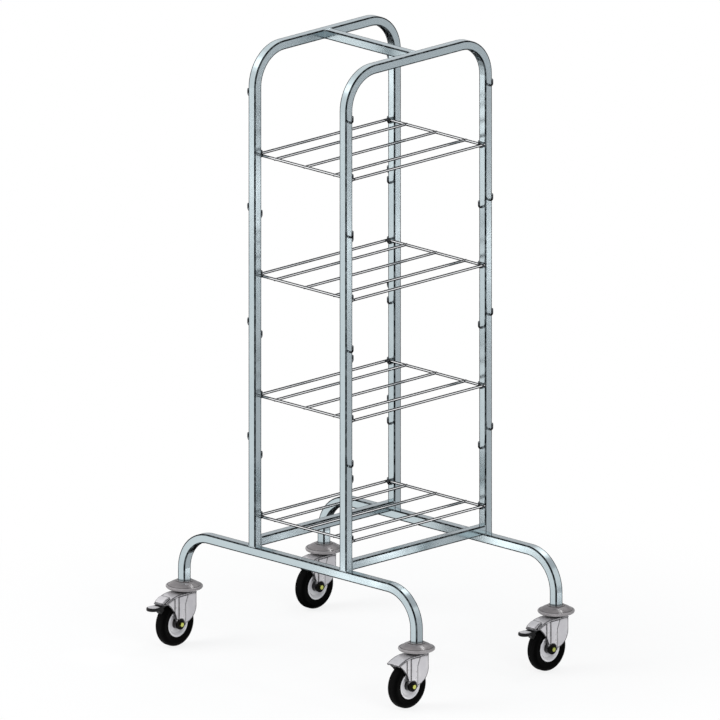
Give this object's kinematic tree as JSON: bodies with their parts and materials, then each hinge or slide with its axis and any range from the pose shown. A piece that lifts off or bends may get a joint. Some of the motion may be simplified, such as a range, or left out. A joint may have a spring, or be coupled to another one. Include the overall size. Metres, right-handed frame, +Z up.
{
  "type": "double-sided shelf trolley",
  "caption": "Tall rolling trolley of bent square tube with wire shelves on hooks, loaded from both sides, on swivel casters with foot brakes.",
  "frame": {"origin": "on the floor, in the middle of the four caster stems", "axes": "+X along the foot bars towards the right hoop, +Y along the shelves towards the rear foot, +Z up"},
  "size_m": [0.98, 0.716, 1.71],
  "materials": {
    "tube_steel": "satin",
    "hook_steel": "satin",
    "wire_steel": "bright",
    "bumper_plastic": "satin moulded",
    "plug_plastic": "moulded",
    "bearing_steel": "dark",
    "fork_steel": "zinc plated",
    "bolt_steel": "yellow zinc",
    "black_plastic": "moulded",
    "rim_plastic": "moulded",
    "tyre_rubber": "smooth",
    "pad_rubber": "matt"
  },
  "bodies": {
    "frame": {"left_hoop": "tube_steel", "right_hoop": "tube_steel", "top_tie_bar": "tube_steel", "lower_rails": "tube_steel", "front_foot": "tube_steel", "rear_foot": "tube_steel", "outer_hooks": "hook_steel", "inner_hooks": "hook_steel", "front_left_bumper": "bumper_plastic", "front_left_plug": "plug_plastic", "front_left_head": "bearing_steel", "front_left_balls": "bearing_steel", "front_right_bumper": "bumper_plastic", "front_right_plug": "plug_plastic", "front_right_head": "bearing_steel", "front_right_balls": "bearing_steel", "rear_left_bumper": "bumper_plastic", "rear_left_plug": "plug_plastic", "rear_left_head": "bearing_steel", "rear_left_balls": "bearing_steel", "rear_right_bumper": "bumper_plastic", "rear_right_plug": "plug_plastic", "rear_right_head": "bearing_steel", "rear_right_balls": "bearing_steel"},
    "front_left_swivel": {"front_left_fork": "fork_steel", "front_left_axle": "bolt_steel", "front_left_washers": "black_plastic", "front_left_bush": "bearing_steel", "front_left_brake_housing": "fork_steel", "front_left_brake_pin": "bearing_steel"},
    "front_left_wheel": {"front_left_rim": "rim_plastic", "front_left_tyre": "tyre_rubber"},
    "front_left_pedal": {"front_left_brake_pedal": "black_plastic", "front_left_brake_pad": "pad_rubber"},
    "front_right_swivel": {"front_right_fork": "fork_steel", "front_right_axle": "bolt_steel", "front_right_washers": "black_plastic", "front_right_bush": "bearing_steel"},
    "front_right_wheel": {"front_right_rim": "rim_plastic", "front_right_tyre": "tyre_rubber"},
    "rear_left_swivel": {"rear_left_fork": "fork_steel", "rear_left_axle": "bolt_steel", "rear_left_washers": "black_plastic", "rear_left_bush": "bearing_steel"},
    "rear_left_wheel": {"rear_left_rim": "rim_plastic", "rear_left_tyre": "tyre_rubber"},
    "rear_right_swivel": {"rear_right_fork": "fork_steel", "rear_right_axle": "bolt_steel", "rear_right_washers": "black_plastic", "rear_right_bush": "bearing_steel", "rear_right_brake_housing": "fork_steel", "rear_right_brake_pin": "bearing_steel"},
    "rear_right_wheel": {"rear_right_rim": "rim_plastic", "rear_right_tyre": "tyre_rubber"},
    "rear_right_pedal": {"rear_right_brake_pedal": "black_plastic", "rear_right_brake_pad": "pad_rubber"},
    "shelf_1_grid": {"shelf_1": "wire_steel"},
    "shelf_2_grid": {"shelf_2": "wire_steel"},
    "shelf_3_grid": {"shelf_3": "wire_steel"},
    "shelf_4_grid": {"shelf_4": "wire_steel"}
  },
  "joints": [
    {"name": "front_left_swivel_turn", "type": "hinge", "parent": "frame", "child": "front_left_swivel", "pos_m": [-0.44, -0.2645, 0.145], "axis": [0, 0, 1], "continuous": true},
    {"name": "front_left_wheel_spin", "type": "hinge", "parent": "front_left_swivel", "child": "front_left_wheel", "pos_m": [-0.44, -0.3015, 0.0625], "axis": [1, 0, 0], "continuous": true},
    {"name": "front_left_brake_press", "type": "hinge", "parent": "front_left_swivel", "child": "front_left_pedal", "pos_m": [-0.44, -0.33955, 0.1284], "axis": [1, 0, 0], "range_deg": [0, 8]},
    {"name": "front_right_swivel_turn", "type": "hinge", "parent": "frame", "child": "front_right_swivel", "pos_m": [0.44, -0.2645, 0.145], "axis": [0, 0, 1], "continuous": true},
    {"name": "front_right_wheel_spin", "type": "hinge", "parent": "front_right_swivel", "child": "front_right_wheel", "pos_m": [0.44, -0.3015, 0.0625], "axis": [1, 0, 0], "continuous": true},
    {"name": "rear_left_swivel_turn", "type": "hinge", "parent": "frame", "child": "rear_left_swivel", "pos_m": [-0.44, 0.2645, 0.145], "axis": [0, 0, 1], "continuous": true},
    {"name": "rear_left_wheel_spin", "type": "hinge", "parent": "rear_left_swivel", "child": "rear_left_wheel", "pos_m": [-0.44, 0.2275, 0.0625], "axis": [1, 0, 0], "continuous": true},
    {"name": "rear_right_swivel_turn", "type": "hinge", "parent": "frame", "child": "rear_right_swivel", "pos_m": [0.44, 0.2645, 0.145], "axis": [0, 0, 1], "continuous": true},
    {"name": "rear_right_wheel_spin", "type": "hinge", "parent": "rear_right_swivel", "child": "rear_right_wheel", "pos_m": [0.44, 0.2275, 0.0625], "axis": [1, 0, 0], "continuous": true},
    {"name": "rear_right_brake_press", "type": "hinge", "parent": "rear_right_swivel", "child": "rear_right_pedal", "pos_m": [0.44, 0.18945, 0.1284], "axis": [1, 0, 0], "range_deg": [0, 8]},
    {"name": "shelf_1_lift", "type": "slide", "parent": "frame", "child": "shelf_1_grid", "axis": [0, 0, 1], "range_m": [0, 0.04]},
    {"name": "shelf_2_lift", "type": "slide", "parent": "frame", "child": "shelf_2_grid", "axis": [0, 0, 1], "range_m": [0, 0.04]},
    {"name": "shelf_3_lift", "type": "slide", "parent": "frame", "child": "shelf_3_grid", "axis": [0, 0, 1], "range_m": [0, 0.04]},
    {"name": "shelf_4_lift", "type": "slide", "parent": "frame", "child": "shelf_4_grid", "axis": [0, 0, 1], "range_m": [0, 0.04]}
  ]
}
